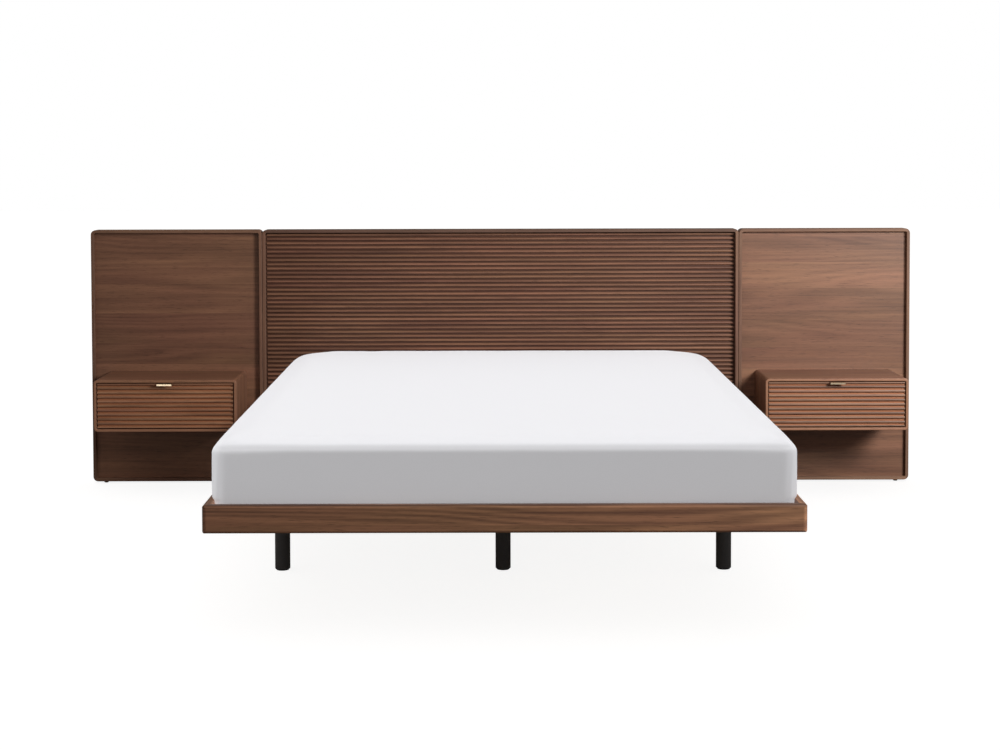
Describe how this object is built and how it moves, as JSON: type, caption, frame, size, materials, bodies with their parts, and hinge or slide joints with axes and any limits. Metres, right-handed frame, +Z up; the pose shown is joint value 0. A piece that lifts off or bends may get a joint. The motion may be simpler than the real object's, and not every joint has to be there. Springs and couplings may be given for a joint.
{
  "type": "platform bed with attached nightstands",
  "caption": "Walnut platform bed on round black legs, wide reeded headboard with plain side panels, a floating nightstand with a reeded drawer on each side.",
  "frame": {"origin": "on the floor at the middle of the overall box", "axes": "+X across the bed to the right seen from the foot, +Y from the foot to the headboard, +Z up"},
  "size_m": [3.114, 2.126, 0.968],
  "materials": {
    "walnut_veneer": "satin walnut veneer, horizontal grain",
    "walnut_edge": "satin solid walnut edging",
    "plywood": "clear lacquered birch plywood",
    "black_legs": "black powder coat",
    "glides": "black nylon",
    "steel": "zinc plated",
    "brass": "brushed champagne brass",
    "sheet": "white cotton fitted sheet"
  },
  "bodies": {
    "bed": {"centre_reeded_panel": "walnut_veneer", "left_panel": "walnut_veneer", "right_panel": "walnut_veneer", "centre_rim_top": "walnut_edge", "centre_rim_bottom": "walnut_edge", "centre_rim_left": "walnut_edge", "centre_rim_right": "walnut_edge", "left_rim_top": "walnut_edge", "left_rim_bottom": "walnut_edge", "left_rim_left": "walnut_edge", "left_rim_right": "walnut_edge", "right_rim_top": "walnut_edge", "right_rim_bottom": "walnut_edge", "right_rim_left": "walnut_edge", "right_rim_right": "walnut_edge", "headboard_battens": "plywood", "panel_connectors": "steel", "levelling_feet": "glides", "left_side_rail": "walnut_veneer", "right_side_rail": "walnut_veneer", "foot_rail": "walnut_veneer", "head_rail": "walnut_veneer", "side_ledgers": "plywood", "centre_beam": "plywood", "cross_beams": "plywood", "slats": "plywood", "corner_brackets": "steel", "bed_bolts": "steel", "front_legs": "black_legs", "rear_legs": "black_legs", "leg_plates": "black_legs", "leg_glides": "glides", "mattress": "sheet", "left_case_top": "walnut_veneer", "left_case_bottom": "walnut_veneer", "left_case_sides": "walnut_veneer", "left_case_back": "walnut_veneer", "left_mounting_bolts": "steel", "left_slide_case_members": "steel", "right_case_top": "walnut_veneer", "right_case_bottom": "walnut_veneer", "right_case_sides": "walnut_veneer", "right_case_back": "walnut_veneer", "right_mounting_bolts": "steel", "right_slide_case_members": "steel"},
    "left_drawer": {"left_slide_drawer_members": "steel", "left_drawer_front": "walnut_veneer", "left_drawer_sides": "plywood", "left_drawer_back": "plywood", "left_drawer_bottom": "plywood", "left_pull": "brass"},
    "right_drawer": {"right_slide_drawer_members": "steel", "right_drawer_front": "walnut_veneer", "right_drawer_sides": "plywood", "right_drawer_back": "plywood", "right_drawer_bottom": "plywood", "right_pull": "brass"},
    "left_slide_middle": {"left_slide_middle_members": "steel"},
    "right_slide_middle": {"right_slide_middle_members": "steel"}
  },
  "joints": [
    {"name": "left_drawer_slide", "type": "slide", "parent": "bed", "child": "left_drawer", "axis": [0, -1, 0], "range_m": [0, 0.2]},
    {"name": "left_middle_slide", "type": "slide", "parent": "bed", "child": "left_slide_middle", "axis": [0, -1, 0], "range_m": [0, 0.1]},
    {"name": "right_drawer_slide", "type": "slide", "parent": "bed", "child": "right_drawer", "axis": [0, -1, 0], "range_m": [0, 0.2]},
    {"name": "right_middle_slide", "type": "slide", "parent": "bed", "child": "right_slide_middle", "axis": [0, -1, 0], "range_m": [0, 0.1]}
  ],
  "couplings": [
    {"joint": "left_middle_slide", "follows": "left_drawer_slide", "ratio": 0.5},
    {"joint": "right_middle_slide", "follows": "right_drawer_slide", "ratio": 0.5}
  ]
}
